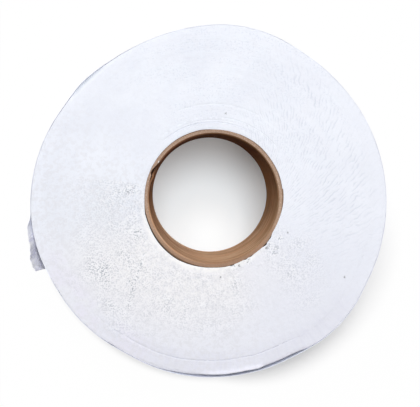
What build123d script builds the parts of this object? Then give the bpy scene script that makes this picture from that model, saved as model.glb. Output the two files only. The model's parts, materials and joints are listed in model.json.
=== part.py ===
"""A jumbo toilet paper roll that lies on its end.

The roll is two physical pieces. A long web of tissue is wound round a core tube, and the tube is
spiral-wound coreboard. The origin is on the tube's axis at the end that the roll lies on, +Z runs
up the axis, and all sizes are in millimetres. Angles are in degrees from +X, counter-clockwise
from above, which is the way the web is wound as it grows outwards.
"""

from build123d import *
import math
import os

# The roll
web_width = 90.0
roll_diameter = 228.0

# The core tube, and how closely the first turn of tissue sits on it
core_bore_diameter = 84.0
core_wall = 3.0
core_clearance = 0.15

# The joint between the edges of the ply that lines the tube. It climbs as a right-handed helix.
seam_width = 0.6
seam_depth = 0.25
seam_lead = 97.0
seam_top_angle = 159.0

# The turns that show on both ends of the roll, as the spiral gap between them
turns_shown = 5
turn_gap_width = 0.7
turn_gap_depth = 0.5
points_a_turn = 12

# The loose end of the web, which stands off the roll's side
sheet_thickness = 0.3
tail_start_angle = 184.0
tail_end_angle = 203.5
tail_lift = 6.5

# One overrun for every cut that runs past a face
overrun = 1.0

# The wound web isn't quite round: its radius about the tube's axis at even angles from +X, as
# shares of half the roll's diameter. The winding is a little thicker on the side of the tail.
outline_radius_shares = (
    0.991, 0.984, 0.978, 0.972, 0.974, 0.990,
    0.987, 0.974, 0.969, 0.980, 0.999, 1.023,
    1.038, 1.045, 1.030, 1.028, 1.016, 1.023,
    1.025, 1.021, 1.017, 1.026, 1.005, 0.998,
)

# How far the tail stands off the roll at even steps from its start to its end
tail_lift_shares = (0.0, 0.38, 0.50, 0.58, 0.78, 1.0, 0.92)

# The spiral gap runs from the first of these shares of the wound thickness to the second
first_turn_share = 0.06
last_turn_share = 0.975

core_bore_radius = core_bore_diameter / 2
core_radius = core_bore_radius + core_wall
hole_radius = core_radius + core_clearance
roll_radius = roll_diameter / 2
outline_points = len(outline_radius_shares)
outline_step = 360.0 / outline_points


def at(radius, angle):
    """The point at a radius and an angle about the tube's axis."""
    turned = math.radians(angle)
    return (radius * math.cos(turned), radius * math.sin(turned))


def outline_radius(angle):
    """The roll's radius at an angle, between the two table entries beside it."""
    place = (angle % 360.0) / outline_step
    before = int(place)
    share = place - before
    low = outline_radius_shares[before % outline_points]
    high = outline_radius_shares[(before + 1) % outline_points]
    return roll_radius * (low + (high - low) * share)


def turn_gap_edge(side):
    """The points of one edge of the spiral gap, round beside the tube and like the outline at the end."""
    steps = turns_shown * points_a_turn
    points = []
    for step in range(steps + 1):
        angle = step * 360.0 / points_a_turn
        share = first_turn_share + (last_turn_share - first_turn_share) * step / steps
        middle = hole_radius + share * (outline_radius(angle) - hole_radius)
        points.append(at(middle + side * turn_gap_width / 2, angle))
    return points


def arcs_through(points):
    """A chain of arcs, each through the next three points."""
    for first in range(0, len(points) - 2, 2):
        ThreePointArc(*points[first:first + 3])


def tail_face(side):
    """The points of one face of the tail, from its root to its cut end."""
    steps = len(tail_lift_shares) - 1
    points = []
    for step, share in enumerate(tail_lift_shares):
        angle = tail_start_angle + (tail_end_angle - tail_start_angle) * step / steps
        middle = outline_radius(angle) - sheet_thickness / 2 + share * tail_lift
        points.append(at(middle + side * sheet_thickness / 2, angle))
    return points


# The wound web, with its tail and the turns on both ends
with BuildPart() as wound_tissue:
    with BuildSketch() as web_section:
        with BuildLine():
            outline = [
                at(roll_radius * share, number * outline_step)
                for number, share in enumerate(outline_radius_shares)
            ]
            arcs_through(outline + outline[:1])
        make_face()
        Circle(hole_radius, mode=Mode.SUBTRACT)
        with BuildLine():
            inner = tail_face(-1)
            outer = tail_face(+1)
            arcs_through(inner)
            arcs_through(outer)
            Line(inner[0], outer[0])
            Line(inner[-1], outer[-1])
        make_face()
    extrude(amount=web_width)
    for end in (0.0, web_width - turn_gap_depth):
        with BuildSketch(Plane.XY.offset(end)) as turn_gap:
            near = turn_gap_edge(-1)
            far = turn_gap_edge(+1)
            with BuildLine():
                arcs_through(near)
                arcs_through(far)
                Line(near[0], far[0])
                Line(near[-1], far[-1])
            make_face()
        extrude(amount=turn_gap_depth, mode=Mode.SUBTRACT)

# The core tube, with the joint of its lining ply as a shallow helical groove in the bore
seam_turn = 360.0 * (web_width + overrun) / seam_lead
with BuildPart() as core_tube:
    with BuildSketch():
        Circle(core_radius)
        Circle(core_bore_radius, mode=Mode.SUBTRACT)
    extrude(amount=web_width)
    seam_plane = Plane.XY.offset(-overrun).rotated((0, 0, seam_top_angle - seam_turn))
    with BuildLine(seam_plane) as seam:
        path = Helix(pitch=seam_lead, height=web_width + 2 * overrun, radius=core_bore_radius)
    across = Plane(origin=path @ 0, x_dir=Vector((path @ 0).X, (path @ 0).Y, 0), z_dir=path % 0)
    with BuildSketch(across):
        Rectangle(2 * seam_depth, seam_width)
    sweep(path=path, is_frenet=True, mode=Mode.SUBTRACT)

os.makedirs("parts", exist_ok=True)
for name, piece in (("wound_tissue", wound_tissue), ("core_tube", core_tube)):
    piece.part.label = name
    export_step(piece.part, f"parts/{name}.step")
    print(name, "volume", round(piece.part.volume), "mm3")
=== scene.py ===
# %% [markdown]
# # A jumbo toilet paper roll
#
# The frame holds the roll as two plain solids: the wound web of tissue and the coreboard tube.
# This lesson builds what a camera sees over them. Each surface starts from a primitive, is shaped in
# edit mode and gets a procedural finish. Sizes come from the frame, so every piece fits it as made.

# %% Load the frame
import bpy
import json
import math
import numpy as np
from mathutils import Euler, Matrix, Vector
from mathutils.bvhtree import BVHTree


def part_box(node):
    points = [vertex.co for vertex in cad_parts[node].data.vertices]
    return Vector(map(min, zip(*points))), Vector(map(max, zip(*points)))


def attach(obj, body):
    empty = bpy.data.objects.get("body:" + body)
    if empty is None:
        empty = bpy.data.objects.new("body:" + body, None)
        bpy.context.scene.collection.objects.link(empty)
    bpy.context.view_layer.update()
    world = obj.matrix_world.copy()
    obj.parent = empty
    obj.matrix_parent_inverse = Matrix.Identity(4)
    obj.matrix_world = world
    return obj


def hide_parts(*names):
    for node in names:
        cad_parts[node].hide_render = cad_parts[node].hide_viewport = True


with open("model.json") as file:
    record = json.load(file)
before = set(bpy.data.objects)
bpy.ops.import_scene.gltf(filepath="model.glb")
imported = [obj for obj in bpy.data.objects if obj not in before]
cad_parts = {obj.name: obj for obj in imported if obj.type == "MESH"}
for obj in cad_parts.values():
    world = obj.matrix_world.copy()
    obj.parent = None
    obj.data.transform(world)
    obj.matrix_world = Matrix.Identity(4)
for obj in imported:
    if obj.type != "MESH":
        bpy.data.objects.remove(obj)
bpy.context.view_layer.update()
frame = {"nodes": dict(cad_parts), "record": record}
bpy.ops.object.select_all(action="DESELECT")
print("CAD nodes", sorted(frame["nodes"]))

# %% [markdown]
# ## Sizes
#
# Lengths of the shapes are in millimetres and multiplied by mm where they meet Blender. The bore is
# the record's own mount, the tube's outside is read from its node's box, and the roll's outline is
# read with rays that start inside the solid web, because it isn't quite round.

# %% Read the sizes of the roll
mm = 0.001
bore_mount = next(mount for mount in frame["record"]["mounts"] if mount["name"] == "core_bore")
bore_radius = bore_mount["dims"]["r_mm"]
core_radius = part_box("core_tube")[1].x / mm
web_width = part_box("wound_tissue")[1].z / mm
ray_start = core_radius + 10
ray_count = 720
outline_waves = 26

web_mesh = frame["nodes"]["wound_tissue"].data
web_solid = BVHTree.FromPolygons(
    [vertex.co for vertex in web_mesh.vertices],
    [face.vertices for face in web_mesh.polygons],
)


def measured_reach(angle):
    """The solid web's radius at an angle, half way up it."""
    heading = Vector((math.cos(angle), math.sin(angle), 0))
    start = heading * ray_start * mm + Vector((0, 0, web_width / 2 * mm))
    return ray_start + web_solid.ray_cast(start, heading)[3] / mm


ray_angles = np.arange(ray_count) * 2 * math.pi / ray_count
reaches = np.array([measured_reach(angle) for angle in ray_angles])
spectrum = np.fft.rfft(reaches)
spectrum[outline_waves:] = 0
smooth_reaches = np.fft.irfft(spectrum, ray_count)
print("bore", bore_radius, "core", core_radius, "web", web_width, "mm")
print("outline from", round(smooth_reaches.min(), 1), "to", round(smooth_reaches.max(), 1), "mm")

# %% [markdown]
# ## The camera
#
# The photo looks down from nearly straight above. The far end of the bore looks 0.88 times as wide
# as the near end, which puts the lens 660 mm above the roll's upper end. The tube's axis meets its
# vanishing point up and left of the picture's middle, so the lens stands on that side.

# %% Place the camera
picture_width = 420
focal_pixels = 1017
sensor_width = 36
camera_place = Vector((-21.4, 21.3, 750)) * mm
camera_aim = Vector((-2.32, -3.18, 90)) * mm

bpy.ops.object.camera_add(location=camera_place)
camera = bpy.context.object
forward = (camera_aim - camera_place).normalized()
right = forward.cross(Vector((0, 1, 0))).normalized()
turned = Matrix((right, right.cross(forward), -forward)).transposed()
camera.matrix_world = Matrix.Translation(camera_place) @ turned.to_4x4()
camera.data.sensor_fit = "HORIZONTAL"
camera.data.sensor_width = sensor_width
camera.data.lens = sensor_width * focal_pixels / picture_width
bpy.context.scene.camera = camera
print("lens", round(camera.data.lens, 1), "mm")

# %% [markdown]
# ## Helpers for shapes
#
# A wound roll has the same section all the way round, so a section is spun about the axis. What
# isn't round is then worked into the mesh by moving its vertices with smooth formulas. Much of it
# changes with the angle, so it is kept in small tables of angle and value, in degrees from +X. The
# noise closes on itself once round the roll, so it has no seam.

# %% Define the smooth formulas
def fade(value, start, end):
    """0 up to start, 1 from end on and smooth between them. Start may be the larger of the two."""
    share = np.clip((value - start) / (end - start), 0, 1)
    return share * share * (3 - 2 * share)


def plateau(value, start, full, falling, end):
    """1 from full to falling, fading to 0 at start and at end."""
    return fade(value, start, full) * (1 - fade(value, falling, end))


def bump(value, middle, spread):
    """1 at the middle, falling smoothly to 0 on both sides."""
    return np.exp(-(((value - middle) / spread) ** 2))


def soft_noise(turn, across, cells_round, cells_across, seed):
    """Smooth noise from -1 to 1 by the place round the roll and the place across, each 0 to 1."""
    knots = np.random.default_rng(seed).uniform(-1, 1, (cells_round, cells_across + 2))
    round_place = (turn % 1) * cells_round
    across_place = np.clip(across, 0, 1) * cells_across
    column = np.floor(round_place).astype(int) % cells_round
    row = np.floor(across_place).astype(int)
    later_column = (column + 1) % cells_round
    round_share = fade(round_place % 1, 0, 1)
    across_share = fade(across_place % 1, 0, 1)
    here = knots[column, row] * (1 - across_share) + knots[column, row + 1] * across_share
    later = knots[later_column, row] * (1 - across_share) + knots[later_column, row + 1] * across_share
    return here * (1 - round_share) + later * round_share


def by_angle(degrees, table):
    """A value read from a table of angles and values that closes on itself."""
    return np.interp(degrees % 360, list(table), list(table.values()), period=360)


def by_angle_level(degrees, table):
    """A value read from a table that keeps its end values before its start and after its end."""
    return np.interp(degrees, list(table), list(table.values()))


def turned_from(degrees, angle):
    """How far round a place is from an angle, from -180 to 180."""
    return (degrees - angle + 180) % 360 - 180


def outline(degrees):
    """The roll's radius at an angle, as the frame has it."""
    return np.interp(np.radians(degrees % 360), ray_angles, smooth_reaches, period=2 * math.pi)


# %% Define what reads and moves the vertices
def places_of(piece):
    """All vertices of a piece in millimetres, as an array of three columns."""
    places = np.empty(len(piece.data.vertices) * 3)
    piece.data.vertices.foreach_get("co", places)
    return places.reshape(-1, 3) / mm


def round_places(piece):
    """The distance from the axis, the angle in degrees and the height of all vertices."""
    x, y, z = places_of(piece).T
    return np.hypot(x, y), np.degrees(np.arctan2(y, x)) % 360, z


def put_round_places(piece, radius, degrees, z):
    """Moves all vertices to new distances from the axis, angles and heights."""
    x = radius * np.cos(np.radians(degrees))
    y = radius * np.sin(np.radians(degrees))
    piece.data.vertices.foreach_set("co", (np.column_stack((x, y, z)) * mm).ravel())
    piece.data.update()


def keep_values(piece, name, values):
    """Stores one number for each vertex, for a material to read."""
    piece.data.attributes.new(name, "FLOAT", "POINT").data.foreach_set("value", values)


# %% Define the moves in edit mode
tiny = 0.001


def edit_mode():
    bpy.ops.object.mode_set(mode="EDIT")


def object_mode():
    bpy.ops.object.mode_set(mode="OBJECT")


def select_edges(piece, wanted):
    """Leaves a piece in edit mode with only the edges whose middle passes the test selected."""
    edit_mode()
    bpy.ops.mesh.select_mode(type="EDGE")
    bpy.ops.mesh.select_all(action="DESELECT")
    object_mode()
    corners = piece.data.vertices
    for edge in piece.data.edges:
        first, second = (corners[number].co for number in edge.vertices)
        edge.select = bool(wanted((first + second) / 2 / mm))
    edit_mode()


def agree_normals(piece):
    """Turns the faces of a piece the same way."""
    edit_mode()
    bpy.ops.mesh.select_all(action="SELECT")
    bpy.ops.mesh.normals_make_consistent(inside=False)
    object_mode()
    print(piece.name, len(piece.data.polygons), "faces")


def faces_outward(piece):
    """Whether an open sheet round the axis has its faces pointing away from it."""
    face = piece.data.polygons[0]
    return face.normal.dot(Vector((face.center.x, face.center.y, 0))) > 0


def thicken(piece, thickness, offset):
    """Gives a sheet its thickness: behind its faces at offset -1, in front of them at 1."""
    solidify = piece.modifiers.new("thickness", "SOLIDIFY")
    solidify.thickness = thickness * mm
    solidify.offset = offset
    bpy.ops.object.modifier_apply(modifier=solidify.name)
    print(piece.name, len(piece.data.polygons), "faces with its thickness")


# %% Define how a ring is spun and its places are read
def add_section(name, inner, outer, height):
    """A rectangle of edges that stands on the X axis, the section of a ring."""
    middle = Vector(((inner + outer) / 2, 0, height / 2)) * mm
    bpy.ops.mesh.primitive_plane_add(size=1, location=middle, rotation=(math.pi / 2, 0, 0))
    piece = bpy.context.object
    piece.name = name
    piece.scale = ((outer - inner) * mm, height * mm, 1)
    bpy.ops.object.transform_apply(location=True, rotation=True, scale=True)
    edit_mode()
    bpy.ops.mesh.select_all(action="SELECT")
    bpy.ops.mesh.delete(type="ONLY_FACE")
    object_mode()
    return piece


def spin_ring(name, inner, outer, cuts, columns):
    """A closed ring: each side of its section is cut, and the section is spun about the axis."""
    piece = add_section(name, inner, outer, web_width)
    sides = {
        "upper": lambda middle: middle.z > web_width - tiny,
        "outer": lambda middle: middle.x > outer - tiny,
        "lower": lambda middle: middle.z < tiny,
        "inner": lambda middle: middle.x < inner + tiny,
    }
    for side, wanted in sides.items():
        select_edges(piece, wanted)
        bpy.ops.mesh.subdivide(number_cuts=cuts[side])
    bpy.ops.mesh.select_all(action="SELECT")
    bpy.ops.mesh.spin(steps=columns, angle=2 * math.pi, center=(0, 0, 0), axis=(0, 0, 1))
    bpy.ops.mesh.select_all(action="SELECT")
    bpy.ops.mesh.remove_doubles(threshold=tiny * mm)
    object_mode()
    agree_normals(piece)
    return piece


def ring_places(piece, inner, outer, rings):
    """Each vertex's angle, place across, height, and whether it is on top or at the bottom.

    The rings on top were cut evenly, and their places across are moved to those that are wanted.
    """
    reach, degrees, z = round_places(piece)
    across = np.clip((reach - inner) / (outer - inner), 0, 1)
    on_top = z > web_width - tiny
    wanted = np.interp(across, np.linspace(0, 1, len(rings)), rings)
    return degrees, np.where(on_top, wanted, across), z, on_top, z < tiny


# %% [markdown]
# ## The wound turns
#
# A jumbo roll is sawn off a log several times as wide. Its end is hundreds of soft cut edges: some
# turns stand a little higher, the saw leaves slanted chatter, and where it tore the tissue the
# surface is rough and pitted. A ring spun from a finely cut section has vertices about 1 mm apart,
# which is about what the photo resolves. Finer grain is left to the finish.
#
# Some turns have a gap beside them. Three close rings of vertices make it, and the middle one is
# pushed down where the photo shows the line. Where the last turn flares out at the upper left, the
# turns beside it lean after it and leave a shallow hollow.

# %% Describe the ends of the wound turns
sheet_thickness = 0.3
# Each gap between turns: its place across the web, its depth, and where it starts and ends
turn_gaps = (
    (0.068, 0.32, 52, 134), (0.090, 0.16, 66, 120), (0.118, 0.20, 34, 90), (0.245, 0.06, 55, 118),
    (0.868, 0.12, 229, 304),
)
gap_share = 0.0034
# Patches that the saw tore: the angle, the place across, both spreads and the strength
torn_patches = (
    (173.5, 0.12, 5, 0.10, 1.0), (177, 0.24, 6, 0.09, 0.75), (178, 0.52, 6, 0.10, 0.50),
    (193, 0.31, 8, 0.10, 0.60), (204, 0.13, 7, 0.09, 0.95), (210, 0.35, 7, 0.10, 0.76),
    (212, 0.58, 13, 0.24, 0.83), (225, 0.44, 5, 0.08, 0.82), (225, 0.74, 7, 0.10, 0.80),
    (246, 0.42, 8, 0.14, 0.62), (256, 0.40, 8, 0.22, 0.58), (272, 0.54, 8, 0.08, 0.48),
    (284, 0.18, 10, 0.09, 0.60), (318, 0.10, 9, 0.06, 0.80), (286, 0.02, 2.5, 0.025, 1.0),
    (299, 0.03, 4, 0.03, 1.0), (319, 0.03, 5, 0.03, 1.0), (329, 0.09, 3, 0.04, 0.95),
    (316, 0.34, 9, 0.14, 0.55), (331, 0.26, 8, 0.10, 0.50),
)
# How rough the torn surface is between the patches, by angle
torn_base = {
    168: 0.46, 190: 0.45, 205: 0.47, 232: 0.50, 245: 0.42, 262: 0.38, 275: 0.33, 290: 0.28, 298: 0.12,
    304: 0.14, 314: 0.36, 334: 0.36, 345: 0.28,
}
# How far out the torn surface reaches, as a share of the web, by angle
torn_reach = {
    168: 0.60, 190: 0.62, 202: 0.64, 210: 0.78, 228: 0.90, 240: 0.80, 255: 0.68, 300: 0.70, 312: 0.76,
    326: 0.66, 340: 0.45,
}
# How far the last turn stands off the turns inside it, by angle
last_gap = {
    0: 0.03, 62: 0.03, 72: 0.09, 98: 0.09, 112: 0.03, 124: 0.06, 135: 0.12, 164: 0.12, 172: 0.05, 190: 0.05,
    200: 0.15, 205: 0.25, 212: 0.06, 231: 0.05, 235: 0.30, 240: 0.10, 250: 0.14, 257: 0.42, 262: 0.90,
    266: 1.20, 275: 1.40, 281: 1.60, 284.5: 1.05, 288: 1.45, 297: 1.40, 299.5: 0.90, 302: 0.25, 306: 0.15,
    315: 0.08, 325: 0.03,
}
# How far the tube's outside stands off a true circle at its corners, by angle
core_corners = {
    0: 0.0, 20: 0.35, 33: 0.1, 52: 0.3, 71: -0.15, 88: -0.25, 102: 0.25, 122: 0.1, 140: -0.1, 160: -0.2,
    180: -0.3, 192: 0.1, 203: -0.15, 222: 0.3, 240: 0.65, 252: 0.2, 270: -0.2, 281: 0.1, 297: -0.55,
    310: -0.3, 321: 0.05, 330: -0.7, 343: -0.35,
}
# How far the tissue stands off the tube, by angle
core_gap = {
    0: 0.06, 60: 0.06, 150: 0.08, 185: 0.12, 193: 0.45, 202: 0.62, 218: 0.70, 235: 0.55, 250: 0.40,
    268: 0.22, 283: 0.06, 285.5: 0.65, 288: 0.06, 296: 0.06, 298: 0.70, 300: 0.10, 303: 0.55, 306: 0.08,
    315: 0.08, 318.5: 0.95, 321: 0.10, 326: 0.55, 329: 0.06,
}
# Where the upper edge of the last turn flares out: the angle, its spread and how far
flares = ((139, 5.5, 1.15), (131.5, 4.5, 0.60), (122, 5.0, 0.25), (252, 14, 0.20))


# %% Say where the wound turns start and end
def core_outline(degrees):
    """The tube's outside: flattened between worn corners, with a step where its outer ply ends."""
    from_step = (9 - degrees) % 360
    return core_radius + by_angle(degrees, core_corners) + 0.55 * plateau(from_step, 0, 2, 8, 30)


def turns_inside(degrees):
    """Where the wound turns start."""
    return core_outline(degrees) + by_angle(degrees, core_gap)


def turns_outside(degrees):
    """Where the turns under the last one end."""
    return outline(degrees) - sheet_thickness - by_angle(degrees, last_gap)


def flare(degrees):
    """How far the upper edge of the last turn flares out."""
    return sum(reach * bump(turned_from(degrees, angle), 0, spread) for angle, spread, reach in flares)


# %% Spin the wound turns
even_rings = np.linspace(0, 1, 62)
gap_rings = [share + side * gap_share for share, *_ in turn_gaps for side in (-1, 0, 1)]
edge_rings = [0.004, 0.010, 0.975, 0.985, 0.992, 0.997]
upper_rings = np.array(sorted([*even_rings, *gap_rings, *edge_rings]))
print(len(upper_rings), "rings on the upper end")
roll_columns = 600
roll_radius = float(smooth_reaches.mean())
roll_cuts = {"upper": len(upper_rings) - 2, "outer": 13, "lower": 33, "inner": 2}
wound_turns = spin_ring("wound_turns", core_radius, roll_radius, roll_cuts, roll_columns)

# %% [markdown]
# ### How torn the ends are
#
# How torn a place is, from 0 to 1, is the strongest of the patches, one long streak and a base that
# changes with the angle. It fades out past the torn sector, near the rim and close to the tube.

# %% Move the rings to their places
lean_share = 0.95  # how far the turns inside a flare lean after it
degrees, across, z, on_top, on_bottom = ring_places(wound_turns, core_radius, roll_radius, upper_rings)
turn = degrees / 360
radius = turns_inside(degrees) + across * (turns_outside(degrees) - turns_inside(degrees))
under_flare = flare(degrees) * fade(across, 0.97, 1) * on_top
radius = radius + lean_share * under_flare
print("turns from", round(radius.min(), 2), "to", round(radius.max(), 2), "mm")

# %% Say how torn each place is
torn = np.zeros(len(radius))
for angle, place, angle_spread, place_spread, strength in torn_patches:
    patch = bump(turned_from(degrees, angle), 0, angle_spread) * bump(across, place, place_spread)
    torn = np.maximum(torn, strength * patch)
along_streak = np.clip((across - 0.17) / 0.63, 0, 1)
streak = bump(degrees, 218.5 + 18 * along_streak ** 0.8, 2.6)
streak = streak * plateau(across, 0.08, 0.18, 0.76, 0.88)
torn = np.maximum(torn, streak * (0.72 + 0.2 * soft_noise(turn, across, 60, 12, 25)))
between = by_angle(degrees, torn_base) + 0.11 * soft_noise(turn, across, 34, 9, 21)
torn = np.maximum(torn, between + 0.07 * soft_noise(turn, across, 12, 4, 24))
edge_wander = 1.2 * soft_noise(turn * 0, across, 2, 9, 5)
in_sector = fade(degrees + edge_wander, 168.5, 170) * (1 - fade(degrees, 332, 352))
farthest = by_angle(degrees, torn_reach) + 0.07 * soft_noise(turn, 0 * turn, 26, 1, 22)
smooth_by_core = plateau(degrees, 190, 200, 262, 284) * (1 - fade(across, 0.03, 0.07))
past_it = fade(across, farthest - 0.26, farthest + 0.16)
torn = torn * in_sector * (1 - 0.65 * past_it) * (1 - fade(across, 0.90, 0.97)) * (1 - smooth_by_core)
torn = np.clip(torn * (1 + 0.25 * soft_noise(turn, across, 90, 20, 23)), 0, 1)
print("torn", round(100 * (torn[on_top] > 0.3).mean()), "% of the upper end's vertices")

# %% [markdown]
# ### The relief of a sawn end
#
# The moves up and down add up: a broad unevenness, turns that stand out, the grain and pits of the
# torn parts, chatter, edges rounded at the tube and the rim, the gaps between turns, and the lip at
# the lower right where a few turns are pushed up. Both ends get the same, but the lower one only
# loses material, because the roll stands on it.

# %% Shape the ends of the wound turns
stroke_slant = 0.9
middle_radius = 80
chatter_waves = 85
lip_start, lip_end, lip_height = 264, 286.5, 1.5
lower_gap = 0.25

random = np.random.default_rng(7)
grain = random.normal(size=len(radius))
pits = np.clip(random.normal(size=len(radius)) - 1.2, 0, None)
on_the_right = fade(np.cos(np.radians(degrees - 22)), 0.35, 0.85)
chatter_turn = np.radians(degrees) - stroke_slant * np.log(radius / middle_radius)
chatter = np.sin(chatter_turn * chatter_waves + 2 * soft_noise(turn, across, 40, 6, 31))
chatter = chatter * on_the_right * np.clip(0.4 + 0.9 * soft_noise(turn, across, 12, 4, 33), 0, 1)
level = (
    0.30 * soft_noise(turn, across, 5, 2, 1)  # a broad unevenness
    + 0.05 * soft_noise(turn, across, 11, 70, 2)  # turns that stand out
    + 0.05 * soft_noise(turn, across, 60, 12, 3)  # bundles of turns
    + (0.018 + 0.08 * torn) * grain
    - 0.30 * torn * pits
    + 0.03 * chatter
    - 1.5 * under_flare  # the hollow inside the flared sheet
)
edge_drop = 0.08 + 0.35 * fade(by_angle(degrees, last_gap), 0.1, 0.5)
edge_share = 0.006
level = level - 0.24 * np.exp(-across / edge_share) - edge_drop * np.exp(-(1 - across) / edge_share)
for place, depth, start, end in turn_gaps:
    arc = plateau(degrees, start, start + 12, end - 12, end)
    level = level - depth * arc * (np.abs(across - place) < gap_share / 2)
lip = plateau(degrees, lip_start, lip_start + 9, lip_end - 0.6, lip_end)
level = level + lip_height * lip * fade(across, 0.968, 0.995)

z = np.where(on_top, web_width + level, z)
z = np.where(on_bottom, np.clip(lower_gap - level, 0, None), z)
put_round_places(wound_turns, radius, degrees, z)
keep_values(wound_turns, "torn", torn)
keep_values(wound_turns, "across", across)
# Where the hollow inside the flared sheet gets painted shade in its finish
hollow = fade(flare(degrees), 0.35, 1.0) * fade(across, 0.978, 0.990)
keep_values(wound_turns, "hollow", hollow)
print("upper end from", round(z[on_top].min(), 2), "to", round(z[on_top].max(), 2), "mm")

# %% [markdown]
# ## The last turn and its tail
#
# The outside of the roll is one sheet that goes once round it. It starts under its own tail and ends
# in the tail that stands off the side. In the photo it is loose at the upper left and along the
# bottom, where a dark line shows between it and the roll. A flat grid is the sheet before it is
# wound: its columns are wrapped round the outline and its rows become heights. Solidify then gives
# it the thickness of the tissue.

# %% Describe the last turn
tail_end = 202.2
sheet_columns = 760
sheet_rows = 40
# How far the tail's upper edge stands off the roll, by angle
tail_lift = {
    184.5: 0.0, 186.2: 0.5, 187.2: 1.6, 188.3: 2.5, 190: 3.1, 192: 3.7, 194.3: 3.9, 196: 4.8, 197.2: 5.5,
    199: 6.5, 200.3: 6.6, 202.2: 6.3, 203.5: 5.9, 207: 5.7,
}
# How far it stands off at the lower edge, where it hangs in a plainer curve
tail_lift_below = {184.5: 0.0, 188: 0.1, 193: 0.7, 198: 2.3, 203.5: 3.5, 207: 3.7}
# How deep its outward lean reaches, by angle
tail_lean_depth = {184.5: 2.0, 189: 2.5, 192: 4.0, 195: 6.5, 199: 9, 203: 10}
flare_depth = 3.5

# %% Wrap the sheet round the roll
bpy.ops.mesh.primitive_grid_add(x_subdivisions=sheet_columns, y_subdivisions=sheet_rows, size=1)
last_turn = bpy.context.object
last_turn.name = "last_turn"
x, y, _ = places_of(last_turn).T * mm
along = x + 0.5
across = y + 0.5

# Rows crowd towards both edges of the web, where the sheet curls
up = 0.5 - 0.5 * np.cos(math.pi * across)
up = 0.35 * across + 0.65 * up
below = 1 - up
slant = 3.4 * below * fade(along, 0.94, 1)
degrees = tail_end - 360 * (1 - along) + slant
turn = along
upper_lift = by_angle_level(degrees, tail_lift)
lower_lift = by_angle_level(degrees, tail_lift_below)
lean = np.exp(-below * web_width / by_angle_level(degrees, tail_lean_depth))
lift = lower_lift + (upper_lift - lower_lift) * lean
lift = lift + flare(degrees) * np.exp(-below * web_width / flare_depth)
print("the sheet covers", round(degrees.max() - degrees.min()), "degrees")

# %% Crease the tail and wrinkle the rest
is_tail = fade(degrees, 186, 193)
creases = (
    1.0 * np.abs(soft_noise(turn + 0.012 * up, up, 150, 3, 41))
    + 0.5 * np.abs(soft_noise(turn - 0.02 * up, up, 260, 5, 42))
)
wrinkles = (
    0.10 * (1 + soft_noise(turn, up, 90, 4, 43))
    + 0.14 * (1 + soft_noise(turn + 0.05 * up, up, 22, 3, 44))
    + 0.03 * soft_noise(turn, up, 380, 3, 45)
)
start_in = 1 - fade(along * 360, 0, 9)
wrinkles = wrinkles * (0.3 + 0.7 * fade(by_angle(degrees, last_gap), 0.08, 0.6))
radius = outline(degrees) + lift + is_tail * (creases - 0.5) + (1 - is_tail) * wrinkles * (1 - start_in)
radius = radius - start_in * (by_angle(degrees, last_gap) + sheet_thickness + 0.05)
edge_wave = 0.16 * soft_noise(turn, 0 * turn, 130, 1, 46) + 0.12 * soft_noise(turn, 0 * turn, 37, 1, 47)
z = up * (web_width + edge_wave - 0.1) + (1 - up) * (0.2 + edge_wave * 0.5)

# %% Give the last turn its shape and its thickness
put_round_places(last_turn, radius, degrees, z)
keep_values(last_turn, "loose", is_tail)
agree_normals(last_turn)
if not faces_outward(last_turn):
    edit_mode()
    bpy.ops.mesh.flip_normals()
    object_mode()
thicken(last_turn, sheet_thickness, -1)

# %% [markdown]
# ## The core tube
#
# The tube is strips of coreboard, wound as helices and glued on each other. Its rim shows their cut
# edges. Inside shows the lining, one wide strip whose edges meet in a joint that climbs round the
# bore. Where the joint reaches the rim, the strip's thin corner is broken off, which leaves the notch
# at the left of the photo.
#
# The plies under the lining are spun as one ring with a fine groove between them. The lining is a
# real strip: an upright edge that the Screw modifier winds up the bore, cut off level at both ends by
# bisecting, with the broken corner's faces deleted.

# %% Spin the plies of the tube
lining_thickness = 1.1
core_columns = 420
notch_start, notch_end = 145.2, 159.5
notch_floor, notch_deepest = 0.82, 153
# The plies' inner edge where the corner of the lining took some board with it, by angle
notch_edge = {145.2: 42.15, 150: 43.0, 154.5: 44.0, 157.6: 44.1, 159.5: 43.2}
ply_radius = bore_radius + lining_thickness
ply_joints = (0.5,)
joint_rings = [place + side * 0.04 for place in ply_joints for side in (-1, 0, 1)]
rim_rings = np.array(sorted([0, 0.04, *joint_rings, 0.95, 1]))
core_cuts = {"upper": len(rim_rings) - 2, "outer": 5, "lower": 5, "inner": 30}
core_plies = spin_ring("core_plies", ply_radius, core_radius, core_cuts, core_columns)

# %% Shape the rim and the notch
degrees, across, z, on_top, on_bottom = ring_places(core_plies, ply_radius, core_radius, rim_rings)
turn = degrees / 360
up = z / web_width
in_notch = plateau(degrees, notch_start, notch_start + 0.8, notch_end - 0.8, notch_end)
torn_edge = by_angle_level(degrees, notch_edge)
inner_radius = ply_radius + in_notch * fade(up, notch_floor, 0.97) * (torn_edge - ply_radius)
radius = inner_radius + across * (core_outline(degrees) - inner_radius)
ply = np.searchsorted(ply_joints, across)
level = 0.12 * soft_noise(turn, ply / 3, 19, 3, 51) + 0.03 * soft_noise(turn, across, 140, 6, 52)
for place in ply_joints:
    level = level - 0.22 * (np.abs(across - place) < 0.02)
level = level - 0.12 * ((across < 0.01) | (across > 0.99))
z = np.where(on_top, web_width + 0.1 + level, z)
z = np.where(on_bottom, 0.15 + np.clip(level, -0.15, None), z)
put_round_places(core_plies, radius, degrees, z)
print("rim from", round(z[on_top].min(), 2), "to", round(z[on_top].max(), 2), "mm")

# %% Wind the lining of the tube
seam_lead = 97
seam_gap = 0.7
seam_top_angle = 159
lining_rows = 40
lining_turns = 3
first_low = web_width - seam_lead * (seam_top_angle / 360 + lining_turns - 1)

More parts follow.
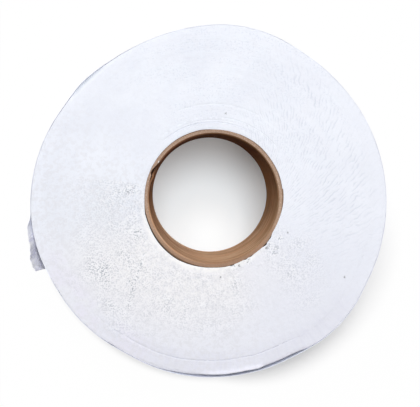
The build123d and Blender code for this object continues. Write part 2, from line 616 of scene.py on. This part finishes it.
lining = add_section("core_lining", bore_radius, bore_radius + 1, seam_lead - seam_gap)
select_edges(lining, lambda middle: middle.x > bore_radius + tiny)
bpy.ops.mesh.delete(type="EDGE")
select_edges(lining, lambda middle: True)
bpy.ops.mesh.subdivide(number_cuts=lining_rows - 1)
bpy.ops.mesh.select_all(action="SELECT")
bpy.ops.transform.translate(value=(0, 0, first_low * mm))
object_mode()
screw = lining.modifiers.new("winding", "SCREW")
screw.axis = "Z"
screw.steps = screw.render_steps = 360
screw.screw_offset = seam_lead * mm
screw.iterations = lining_turns
screw.use_merge_vertices = True
bpy.ops.object.modifier_apply(modifier=screw.name)
edit_mode()
for height, upwards in ((web_width, 1), (0, -1)):
    bpy.ops.mesh.select_all(action="SELECT")
    bpy.ops.mesh.bisect(plane_co=(0, 0, height * mm), plane_no=(0, 0, upwards), clear_outer=True)
object_mode()
print("lining", len(lining.data.polygons), "faces")


# %% Break off the lining's corner
def in_broken_corner(middle):
    """Whether a face of the lining lies in the corner that is torn off."""
    angle = math.degrees(math.atan2(middle.y, middle.x))
    torn_height = web_width * (notch_floor + 0.1 * abs(angle - notch_deepest) / 7)
    return notch_start < angle < notch_end and middle.z / mm > torn_height


edit_mode()
bpy.ops.mesh.select_mode(type="FACE")
bpy.ops.mesh.select_all(action="DESELECT")
object_mode()
for face in lining.data.polygons:
    face.select = in_broken_corner(face.center)
print("broken corner", sum(face.select for face in lining.data.polygons), "faces")
edit_mode()
bpy.ops.mesh.delete(type="FACE")
object_mode()
agree_normals(lining)

# %% Curl the lining's edge and give it its thickness
reach, degrees, z = round_places(lining)
turn = degrees / 360
up = z / web_width
curl = plateau(degrees, 158, 159.5, 160, 168) * fade(up, 0.80, 1)
radius = reach - 0.05 * soft_noise(turn, up, 24, 5, 61) - 0.6 * curl
upper_edge = fade(up, 0.97, 1) * (0.12 + 0.10 * soft_noise(turn, 0 * turn, 60, 1, 62))
z = z + upper_edge + 0.15 * fade(up, 0.03, 0)
put_round_places(lining, radius, degrees, z)
thicken(lining, lining_thickness, 1 if faces_outward(lining) else -1)
agree_normals(lining)

# %% [markdown]
# ## Shader maths in Python
#
# A finish is a small program made of nodes. Wrapping a socket in a class lets Python's own signs
# add the nodes: radius * 3 + 1 makes a Multiply and an Add.

# %% Define the socket wrapper
class Wire:
    """A socket of a material's node tree that Python's arithmetic works on."""

    def __init__(self, tree, socket=None):
        self.tree = tree
        self.socket = socket

    def make(self, kind, inputs, output=0, **settings):
        """Adds a node, applies its settings, then fills its sockets with values or wires."""
        node = self.tree.nodes.new("ShaderNode" + kind)
        for name, value in settings.items():
            setattr(node, name, value)
        for key, value in inputs.items():
            if isinstance(value, Wire):
                self.tree.links.new(value.socket, node.inputs[key])
            else:
                node.inputs[key].default_value = value
        return Wire(self.tree, node.outputs[output])

    def maths(self, operation, first, second=0.0):
        return self.make("Math", {0: first, 1: second}, operation=operation)

    def __add__(self, other):
        return self.maths("ADD", self, other)

    def __sub__(self, other):
        return self.maths("SUBTRACT", self, other)

    def __rsub__(self, other):
        return self.maths("SUBTRACT", other, self)

    def __mul__(self, other):
        return self.maths("MULTIPLY", self, other)

    def __truediv__(self, other):
        return self.maths("DIVIDE", self, other)

    __radd__ = __add__
    __rmul__ = __mul__

    def step(self, start, end):
        """0 up to start, 1 from end on and smooth between them."""
        limits = {"Value": self, "From Min": start, "From Max": end}
        return self.make("MapRange", limits, interpolation_type="SMOOTHSTEP")

    def noise(self, place, size, detail=2.0, roughness=0.5):
        """Noise from 0 to 1 whose lumps have this size in metres, read at a place."""
        inputs = {"Vector": place, "Scale": 1 / size, "Detail": detail, "Roughness": roughness}
        return self.make("TexNoise", inputs)

    def mix(self, share, first, second):
        """The first colour where share is 0 and the second where it is 1."""
        return self.make("Mix", {0: share, 6: first, 7: second}, 2, data_type="RGBA")

    def tint(self, colour, by):
        """The first colour multiplied by the second."""
        return self.make("Mix", {0: 1.0, 6: colour, 7: by}, 2, data_type="RGBA", blend_type="MULTIPLY")

    def vector(self, x, y, z):
        return self.make("CombineXYZ", {0: x, 1: y, 2: z})

    def here(self):
        """The place on the object, in metres, and its x, y and z."""
        place = self.make("TexCoord", {}, 3)
        return place, *[self.make("SeparateXYZ", {0: place}, axis) for axis in range(3)]

    def ramp(self, share, table):
        """A colour read by a share from a table of shares and colours."""
        colour = self.make("ValToRGB", {"Fac": share})
        elements = colour.socket.node.color_ramp.elements
        while len(elements) < len(table):
            elements.new(0.5)
        for element, (place, stop) in zip(elements, table.items()):
            element.position = place
            element.color = (*stop, 1)
        return colour

    def seen_by_camera(self):
        """1 for the rays that show a thing to the camera, also in a mirror or through glass."""
        light_path = self.tree.nodes.new("ShaderNodeLightPath").outputs
        straight, mirrored, passed = (
            Wire(self.tree, light_path[f"Is {kind} Ray"]) for kind in ("Camera", "Glossy", "Transmission")
        )
        return self.maths("MAXIMUM", self.maths("MAXIMUM", straight, mirrored), passed)

    def flat_length(self, x, y):
        """The distance that x and y make together."""
        return self.make("VectorMath", {0: self.vector(x, y, 0.0)}, 1, operation="LENGTH")

    def layered(self, colour, layers):
        """A colour with others laid over it, each by its own share."""
        for share, over in layers:
            colour = self.mix(share, colour, over)
        return colour

    def towards(self, angle, degrees):
        """1 where an angle in radians points this way, 0 square to it and -1 on the far side."""
        return self.maths("COSINE", angle - math.radians(degrees))

    def attribute(self, name):
        """A number that was stored for each vertex."""
        return self.make("Attribute", {}, 2, attribute_name=name)


# %% Define the helpers for finishes
bump_depth = 0.12


def srgb(red, green, blue):
    """A colour as a screen shows it, from 0 to 255, as the linear values that nodes take."""
    return (*[((value / 255 + 0.055) / 1.055) ** 2.4 for value in (red, green, blue)], 1.0)


def flat_point(reach, degrees):
    """The x and y in metres of a place at this many millimetres and degrees."""
    return math.cos(math.radians(degrees)) * reach * mm, math.sin(math.radians(degrees)) * reach * mm


def tell_nodes(material):
    print(material.name, len(material.node_tree.nodes), "nodes")


def new_finish(name, roughness, specular):
    """A material with its shader's fixed values set, and a wire to build the rest with."""
    material = bpy.data.materials.new(name)
    material.use_nodes = True
    shader = material.node_tree.nodes["Principled BSDF"]
    shader.inputs["Roughness"].default_value = roughness
    shader.inputs["Specular IOR Level"].default_value = specular
    return material, shader, Wire(material.node_tree)


def finish_with(shader, wire, colour, height):
    """Feeds the colour, and through a Bump node the height."""
    normal = wire.make("Bump", {"Strength": 1.0, "Distance": bump_depth * mm, "Height": height})
    wire.tree.links.new(colour.socket, shader.inputs["Base Color"])
    wire.tree.links.new(normal.socket, shader.inputs["Normal"])


# %% [markdown]
# ## The finish of the sawn ends
#
# Tissue is a cool matt white. On a sawn end the edges of the turns lie in rings, so its fine grain is
# long round the axis and short across it: the noise is read at a place whose direction counts little
# and whose radius counts much. The values that were stored with the shape say how torn or hollow the
# end is at a place, and how far across the web that is.

# %% Read the place on a sawn end
sawn_end, shader, wire = new_finish("sawn_tissue_end", 0.95, 0.15)
place, end_x, end_y, _ = wire.here()
reach = wire.flat_length(end_x, end_y)
angle = wire.maths("ARCTAN2", end_y, end_x)
torn_here = wire.attribute("torn")
# The hollow is painted darker: painted shade
hollow_painted_shade = wire.attribute("hollow")
share_across = wire.attribute("across")
untorn = 1 - torn_here.step(0.1, 0.5)

# Rings: a place with the radius at full size and the way round squeezed to a seventh
ring_place = wire.vector(end_x / reach * 0.012, end_y / reach * 0.012, reach)
ring_grain = wire.noise(ring_place, 0.0011, 3.0, 0.6)
fine_rings = wire.noise(ring_place, 0.0005, 1.0)
tell_nodes(sawn_end)

# %% [markdown]
# ### The marks of the saw
#
# On the right the saw left short slanted strokes, and at the top its teeth plucked the turns and left
# dots in rings; both are painted darker, as painted shade of these ripples and pits. The strokes are
# the ripples of a sine, laid along logarithmic spirals, which meet every radius at the same slant,
# about 42 degrees. Noise bends them and cuts them into dashes.

# %% Draw the strokes and the dots
stroke_waves = 2 * chatter_waves
spiral = wire.maths("LOGARITHM", reach / (middle_radius * mm), math.e)
across_strokes = angle - spiral * stroke_slant
along_strokes = spiral + angle * stroke_slant
stroke_place = wire.vector(across_strokes * 0.08, along_strokes * 0.04, 0.0)
stroke_side = wire.towards(angle, 22).step(0.55, 0.95)
stroke_rings = wire.noise(ring_place, 0.0065, 1.0).step(0.30, 0.60) * 0.6 + 0.4
ripples = wire.maths("SINE", across_strokes * stroke_waves + wire.noise(place, 0.006, 1.0) * 11)
dashes = wire.noise(stroke_place, 0.0036, 1.0).step(0.40, 0.60)
strokes = ripples.step(-0.1, 1.0) * dashes * stroke_rings * stroke_side
strokes = strokes * (1 - share_across.step(0.72, 0.95) * 0.7) * untorn

dot_side = wire.towards(angle, 72).step(0.35, 0.85)
dot_rings = wire.noise(ring_place, 0.0045, 1.0).step(0.42, 0.58)
dots = wire.noise(place, 0.0012, 1.0).step(0.56, 0.66) * dot_rings * dot_side * untorn
tell_nodes(sawn_end)

# %% [markdown]
# ### The torn surface
#
# Where the saw tore the tissue, the end is a felt of crumbs: pale tufts beside dark hollows of the
# same size, which are the two ends of one noise. The tufts are painted light and the hollows painted
# shade, with some dirt. Deeper pits, painted darker as painted shade, and wormy lines lie among them.

# %% Make the crumbs, the pits and the wormy lines
roughened = torn_here.step(0.06, 0.75)
crumbs = wire.noise(place, 0.00095, 1.0)
# Painted shade in the hollows, with some dirt, then painted light on the tufts and painted shade in deeper
# pits
crumb_shade_and_dirt = crumbs.step(0.51, 0.63) * roughened * (torn_here.step(0.5, 0.95) * 0.48 + 0.46)
crumb_painted_light = (1 - crumbs).step(0.51, 0.63) * roughened
deep_pit_shade = wire.noise(place, 0.0017, 2.0).step(0.60, 0.68) * torn_here.step(0.55, 0.95)
worms = 1 - wire.maths("ABSOLUTE", wire.noise(place, 0.0021, 1.0, 0.4) - 0.5).step(0.0, 0.05)
worms = worms * (torn_here * 0.4 + 0.08)
tell_nodes(sawn_end)

# %% [markdown]
# ### The colours of the sawn ends
#
# The white is cool in soft clouds at the top, more neutral on the torn lower side, duller at the
# left, and a darker lavender near the bottom and at the lower right: a lavender tint with painted
# shade. A fine dark line there is painted shade of a gap between turns, and the hollow inside the
# flared sheet is painted shade too. Each colour is laid over those before it by its own share.

# %% Say where the whites lie
clouds = wire.noise(place, 0.030, 3.0, 0.55)
patches = wire.noise(place, 0.011, 2.0, 0.6)
lumps = wire.noise(place, 0.0026, 2.0, 0.6)
lumps_side = wire.towards(angle, 222).step(0.05, 0.70) * 0.75 + 0.25
leftward = (0 - end_x).step(0.03, 0.10) * (0.03 - end_y).step(0.0, 0.04)
left_white = wire.mix(share_across.step(0.30, 0.60), srgb(221, 224, 229), srgb(231, 234, 242))
bluer = (share_across + wire.towards(angle, 330) * 0.3).step(0.25, 0.95)
torn_white = wire.mix(bluer, srgb(243, 241, 242), srgb(234, 235, 243))
lower_side = wire.towards(angle, 262).step(0.22, 0.72)
# Painted shade with a lavender tint at the lower right
lower_right_shade = wire.towards(angle, 318).step(0.78, 0.97)
by_core = (1 - share_across.step(0.012, 0.055)) * wire.towards(angle, 248).step(0.20, 0.75)

# %% Say where the bands near the rim lie
smooth_band = share_across.step(0.86, 0.93) * wire.noise(place, 0.005, 3.0, 0.7).step(0.35, 0.6)
# Painted shade with a lavender tint in a band near the bottom
lower_band_shade = share_across.step(0.74, 0.86) * wire.towards(angle, 276).step(0.55, 0.85)
left_band = share_across.step(0.72, 0.86) * wire.towards(angle, 222).step(0.86, 0.96)
left_band = left_band * wire.noise(place, 0.014, 1.0).step(0.38, 0.58)
streak_place = wire.vector(end_x / reach * 0.08, end_y / reach * 0.08, reach * 0.15)
band_streaks = wire.noise(streak_place, 0.0018, 2.0, 0.6).step(0.4, 0.7)
band_gap_place = turn_gaps[-1][0]
# A dark line painted as the shade in the gap between turns
gap_line_shade = 1 - wire.maths("ABSOLUTE", share_across - band_gap_place).step(0.0008, 0.0040)
gap_line_shade = gap_line_shade * wire.towards(angle, 266).step(0.78, 0.88) * wire.noise(place, 0.003).step(0.3, 0.55)
print("dark line at", band_gap_place, "of the way across")

# %% Lay the colours over each other
sawn_white = wire.mix(clouds.step(0.35, 0.65), srgb(238, 241, 249), srgb(233, 236, 245))
sawn_white = wire.layered(sawn_white, (
    (patches.step(0.40, 0.62) * dot_side * 0.15, srgb(230, 238, 248)),
    (leftward * 0.75, left_white),
    (lower_side * 0.85, torn_white),
    (patches.step(0.45, 0.65) * roughened * 0.4, srgb(231, 230, 235)),
    (smooth_band * (1 - lower_side) * 0.6, srgb(238, 241, 250)),
    (lower_right_shade * 0.5, srgb(231, 233, 243)),
    (lower_band_shade * 0.8, srgb(229, 230, 240)),
    (gap_line_shade * 0.8, srgb(184, 186, 204)),
    (lower_band_shade * band_streaks * 0.3, srgb(216, 217, 231)),
    (left_band * 0.6, srgb(233, 231, 243)),
    (by_core * 0.75, srgb(252, 251, 250)),
    (lumps.step(0.44, 0.62) * lumps_side * 0.42, srgb(222, 222, 228)),
    (ring_grain.step(0.58, 0.78) * 0.22, srgb(210, 215, 230)),
    (stroke_side * 0.30, srgb(241, 243, 251)),
    (strokes * 0.48, srgb(206, 211, 224)),
    (dots * 0.32, srgb(206, 212, 226)),
    (worms, srgb(214, 216, 226)),
    (crumb_painted_light * 0.7, srgb(248, 249, 252)),
    (crumb_shade_and_dirt, srgb(178, 183, 191)),
    (deep_pit_shade * 0.75, srgb(136, 140, 148)),
    (hollow_painted_shade * 0.55, srgb(190, 198, 204)),
))

# %% Add the single specks and finish the sawn ends
# The angle of each speck, its distance from the axis and its size in millimetres
specks = (
    (82, 55.7, 0.8), (329, 100, 0.8), (335.2, 53.2, 0.8),
    (317, 47.3, 1.1), (290.8, 46.8, 1.1), (275, 51.7, 0.8),
)
# Each speck is painted dark: part dirt, part painted shade in a hole
for speck_angle, speck_reach, speck_size in specks:
    speck_x, speck_y = flat_point(speck_reach, speck_angle)
    ragged_distance = wire.flat_length(end_x - speck_x, end_y - speck_y) + crumbs * 0.0024 - 0.0012
    speck = 1 - ragged_distance.step(speck_size * 0.25 * mm, speck_size * mm)
    sawn_white = wire.mix(speck * 0.7, sawn_white, srgb(120, 120, 124))
relief = ring_grain * 0.6 + fine_rings * 0.3 + crumbs * (torn_here * 1.8 + 0.2) - strokes * 0.8
finish_with(shader, wire, sawn_white, relief)
tell_nodes(sawn_end)

# %% [markdown]
# ## The finish of the tissue sheet
#
# Tissue is scraped off its drying cylinder, which leaves crepe: tiny ridges across the web. On the
# roll's side they stand upright, so the noise is stretched up it, and broader folds of the same kind
# lie under it. The tail is creased as well; it is painted whiter as painted light, and its creases a
# darker lavender, a lavender tint with painted shade. The first turn is painted dark brown where it
# meets the tube, as painted shade of the gap there.

# %% Make the sheet finish
sheet_finish, shader, wire = new_finish("creped_tissue", 0.92, 0.2)
sheet_place, sheet_x, sheet_y, sheet_z = wire.here()
crepe_place = wire.vector(sheet_x, sheet_y, sheet_z * 0.12)
crepe = wire.noise(crepe_place, 0.0007, 3.0, 0.6)
folds = wire.noise(crepe_place, 0.0030, 2.0, 0.6)
soft_lumps = wire.noise(sheet_place, 0.004)
sheet_clouds = wire.noise(sheet_place, 0.03)
crease_place = wire.vector(sheet_x * 0.3, sheet_y + sheet_z * 0.35, sheet_z * 0.1)
creases = wire.noise(crease_place, 0.0012, 2.0, 0.6)
loose = wire.attribute("loose")
# Painted shade of the gap between the first turn and the tube
first_turn_gap_shade = 1 - wire.flat_length(sheet_x, sheet_y).step((core_radius + 1.4) * mm, (core_radius + 2.0) * mm)

sheet_colour = wire.mix(sheet_clouds.step(0.3, 0.7), srgb(240, 243, 252), srgb(234, 236, 248))
sheet_colour = wire.layered(sheet_colour, (
    (crepe.step(0.55, 0.85) * 0.35, srgb(222, 225, 240)),
    (folds.step(0.50, 0.68) * 0.30, srgb(216, 219, 234)),
    # The tail is painted whiter, painted light on its shaded side, and its creases darker lavender: a tint
    # with painted shade
    (loose, srgb(250, 250, 255)),
    (creases.step(0.48, 0.62) * loose * 0.45, srgb(205, 204, 234)),
    (first_turn_gap_shade, srgb(84, 68, 58)),
))
finish_with(shader, wire, sheet_colour, crepe * 0.6 + soft_lumps * 0.8 + folds * 2.2)
tell_nodes(sheet_finish)

# %% [markdown]
# ## The finish of the coreboard
#
# Coreboard is pressed from recycled fibre: a matt mid brown with short fibres in all directions,
# darker flecks, and a paler, furry cut edge. The lining's faint streaks are slanted the same way as
# its joint. The board is painted darker by the side of the bore it is on, deepest at the upper right,
# and the lower part of the rim a warmer brown: painted shade, more than soft lamps alone give.

# %% Define the coreboard finish
# Painted shade on the board once round the bore: from the left over the bottom, the right and the top
painted_side_shade = {
    0.00: (0.50, 0.44, 0.40), 0.05: (0.90, 0.86, 0.83), 0.10: (1, 1, 1), 0.228: (1, 1, 1),
    0.389: (0.82, 0.81, 0.78), 0.514: (0.59, 0.57, 0.51), 0.639: (0.14, 0.08, 0.03),
    0.75: (0.12, 0.07, 0.03), 0.86: (0.20, 0.13, 0.10), 1.00: (0.50, 0.44, 0.40),
}


def board_finish(name, base, pale, dark):
    """Coreboard in three browns, its sawn edge on top, and painted gap shade at its outer edge."""
    material, shader, wire = new_finish(name, 0.9, 0.06)
    board_place, board_x, board_y, board_z = wire.here()
    reach = wire.flat_length(board_x, board_y)
    angle = wire.maths("ARCTAN2", board_y, board_x) / (2 * math.pi)
    painted_shade_by_side = wire.ramp(angle + 0.5, painted_side_shade)

    # The board of the walls, whose streaks climb with the joint
    joint_place = (web_width - seam_lead * seam_top_angle / 360) * mm
    climb = wire.maths("FLOORED_MODULO", board_z - angle * seam_lead * mm - joint_place, seam_lead * mm)
    streak_place = wire.vector(board_x * 0.2, board_y * 0.2, climb)
    streaks = wire.noise(streak_place, 0.0042, 3.0, 0.65)
    broad_streaks = wire.noise(streak_place, 0.013, 2.0, 0.6)
    fibres = wire.noise(board_place, 0.0009, 3.0, 0.65)
    flecks = wire.noise(board_place, 0.0022, 2.0, 0.5)
    walls = wire.layered(base, (
        (streaks.step(0.48, 0.60), pale),
        (broad_streaks.step(0.46, 0.58) * 0.6, dark),
        (fibres.step(0.55, 0.8) * 0.5, pale),
        (flecks.step(0.62, 0.75) * 0.35, dark),
    ))

    # The sawn edge on top: the lining's, painted darker as painted shade, least at the lower rim and less at
    # the left, paler plies outside it, painted a warmer brown at the lower rim as painted shade, the tube's
    # outer edge painted dark as the shade of the gap beside the tissue, and a torn pale tip
    sawn_edge = board_z.step((web_width - 0.6) * mm, (web_width - 0.3) * mm)
    painted_lower_rim = (0 - board_y).step(0.0, 0.036)
    left_rim = (0 - board_x).step(0.0, 0.030)
    lining_edge_shade = wire.mix(painted_lower_rim, srgb(96, 70, 52), srgb(146, 113, 90))
    edge_brown = wire.mix(fibres.step(0.42, 0.72), srgb(181, 153, 133), srgb(215, 186, 166))
    edge_brown = wire.tint(edge_brown, wire.mix(0.80, painted_shade_by_side, (1, 1, 1, 1)))
    edge_brown = wire.mix(painted_lower_rim * 0.75, edge_brown, srgb(160, 126, 102))
    outer_plies = reach.step((bore_radius + 0.6) * mm, (bore_radius + 1.0) * mm)
    # The tube's outer edge is painted dark: painted shade of the gap beside the tissue
    outer_gap_shade = reach.step((core_radius - 0.45) * mm, (core_radius - 0.1) * mm)
    tip_x, tip_y = flat_point(bore_radius + 0.6, notch_start + 0.8)
    pale_tip = 1 - wire.flat_length(board_x - tip_x, board_y - tip_y).step(0.0004, 0.0011)
    colour = wire.layered(wire.tint(walls, painted_shade_by_side), (
        (sawn_edge * (0.75 - left_rim * 0.35), lining_edge_shade),
        (sawn_edge * outer_plies, edge_brown),
        (outer_gap_shade * 0.65, srgb(92, 68, 52)),
        (pale_tip * sawn_edge * 0.85, srgb(240, 234, 228)),
    ))
    finish_with(shader, wire, colour, fibres * 0.7 + streaks * 0.5)
    tell_nodes(material)
    return material


# %% Make both coreboard finishes
cut_board = board_finish("cut_coreboard", srgb(170, 143, 124), srgb(192, 165, 146), srgb(128, 104, 87))
lining_board = board_finish("lining_coreboard", srgb(240, 192, 152), srgb(252, 216, 180), srgb(206, 158, 122))

# %% [markdown]
# ## Put the pieces on the frame
#
# The wound turns get two finishes: the sawn one on both ends, and the sheet's own on the sides.
# Every piece rides on the frame's one body.

# %% Assign finishes and ride the frame
wound_turns.data.materials.append(sawn_end)
wound_turns.data.materials.append(sheet_finish)
for face in wound_turns.data.polygons:
    face.material_index = 0 if abs(face.normal.z) > 0.5 else 1
last_turn.data.materials.append(sheet_finish)
core_plies.data.materials.append(cut_board)
lining.data.materials.append(lining_board)
for piece in (wound_turns, last_turn, core_plies, lining):
    bpy.ops.object.select_all(action="DESELECT")
    bpy.context.view_layer.objects.active = piece
    piece.select_set(True)
    bpy.ops.object.shade_smooth_by_angle(angle=math.radians(50))
    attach(piece, "root")
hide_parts("wound_tissue")
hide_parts("core_tube")
print("sawn faces", sum(face.material_index == 0 for face in wound_turns.data.polygons))

# %% [markdown]
# ## Floor and light
#
# The photo has a white ground and soft light from above, a little from the upper right: the shadow in
# the bore lies at its upper right. A weaker lamp at the upper left gives the soft shadow past the
# roll's lower right edge. To the camera the ground is a mix of what is lit and a plain white, whose
# share changes with the place, so it shows whiter than the lamps make it and keeps its shadows.

# %% Lay the floor
floor_size = 6
bpy.ops.mesh.primitive_plane_add(size=floor_size, location=(0, 0, 0))
floor = bpy.context.object
floor.name = "floor"
print("floor", floor_size, "m across")

# %% Tone the ground
floor_paint, floor_shader, wire = new_finish("white_ground", 1.0, 0.0)
ground_place, ground_x, ground_y, _ = wire.here()
seen = wire.seen_by_camera()

# Inside the bore the ground throws little light back on the board round it
in_bore = 1 - wire.flat_length(ground_x, ground_y).step((bore_radius + 0.8) * mm, (bore_radius + 2.5) * mm)
ground_tone = wire.mix(wire.noise(ground_place, 0.2), srgb(249, 249, 249), srgb(251, 251, 251))
# In the bore the ground is tinted cool, painted to cancel the board's warm bounce light
ground_tone = wire.mix(in_bore, ground_tone, srgb(238, 248, 255))
dimmed = in_bore * (1 - seen) * (ground_y + 0.036).step(0.0, 0.030)
ground_tone = wire.mix(dimmed, ground_tone, srgb(120, 120, 120))
wire.tree.links.new(ground_tone.socket, floor_shader.inputs["Base Color"])
tell_nodes(floor_paint)

# %% Share out the plain white
# Beside the roll the lit share is largest at the lower right, where the photo keeps its shadow. It is
# given by the part of a turn from the left, over the bottom, round the middle of the roll's outline.
middle_x, middle_y = 0.0038, -0.0042
shadow_start = 0.1272
off_x = ground_x - middle_x
off_y = ground_y - middle_y
off_centre = wire.flat_length(off_x, off_y)
ground_angle = wire.maths("ARCTAN2", off_y, off_x)
shadow_width = wire.towards(ground_angle, 315).step(0.68, 0.99) * 0.013 + 0.010
beside = 1 - ((off_centre - shadow_start) / shadow_width).step(0.0, 1.0)
lit_shares = {
    0: 0, 0.06: 0, 0.083: 0.45, 0.125: 0.42, 0.167: 0.56, 0.208: 0.62, 0.25: 0.40, 0.292: 0.76, 0.333: 0.90,
    0.375: 0.88, 0.417: 0.62, 0.458: 0.60, 0.50: 0.15, 0.53: 0,
}
lit_greys = {part: (lit, lit, lit) for part, lit in lit_shares.items()}
lit_share = wire.ramp(ground_angle / (2 * math.pi) + 0.5, lit_greys)
white_share = 0.985 - beside * lit_share

# In the bore it is small, with a painted pool of light near the bottom, and smaller still towards the upper
# right, which paints shade there
painted_light_pool = 1 - wire.flat_length(ground_x + 0.002, ground_y + 0.031).step(0.0, 0.036)
bore_share = painted_light_pool * 0.67 + 0.30 - ground_x.step(0.0, 0.036) * 0.12 - ground_y.step(0.0, 0.036) * 0.06
white_share = white_share * (1 - in_bore) + bore_share * in_bore
glow = wire.make("Emission", {"Color": (1, 1, 1, 1), "Strength": 1.0})
lit = Wire(wire.tree, floor_shader.outputs[0])
shown = wire.make("MixShader", {0: seen * white_share, 1: lit, 2: glow})
wire.tree.links.new(shown.socket, wire.tree.nodes["Material Output"].inputs["Surface"])
floor.data.materials.append(floor_paint)
tell_nodes(floor_paint)

# %% Hang the lamps
def add_lamp(name, azimuth, elevation, distance, size, power):
    """A round soft lamp that shines on the roll from a direction in degrees."""
    heading = Vector((1, 0, 0))
    heading.rotate(Euler((0, -math.radians(elevation), math.radians(azimuth))))
    bpy.ops.object.light_add(type="AREA", location=heading * distance)
    lamp = bpy.context.object
    lamp.name = name
    lamp.rotation_mode = "QUATERNION"
    lamp.rotation_quaternion = heading.to_track_quat("Z", "Y")
    lamp.data.shape = "DISK"
    lamp.data.size = size
    lamp.data.energy = power


add_lamp("skylight", 78, 78, 2.5, 1.0, 46)
add_lamp("window", 112, 43, 2.5, 1.2, 22)

# %% Light the sky
world = bpy.data.worlds.new("studio")
bpy.context.scene.world = world
world.use_nodes = True
sky = Wire(world.node_tree)
sky_level = 0.05
background = world.node_tree.nodes["Background"]
background.inputs["Color"].default_value = (1, 1, 1, 1)
strength = sky.seen_by_camera() * (1 - sky_level) + sky_level
sky.tree.links.new(strength.socket, background.inputs["Strength"])
bpy.context.scene.view_settings.view_transform = "Standard"
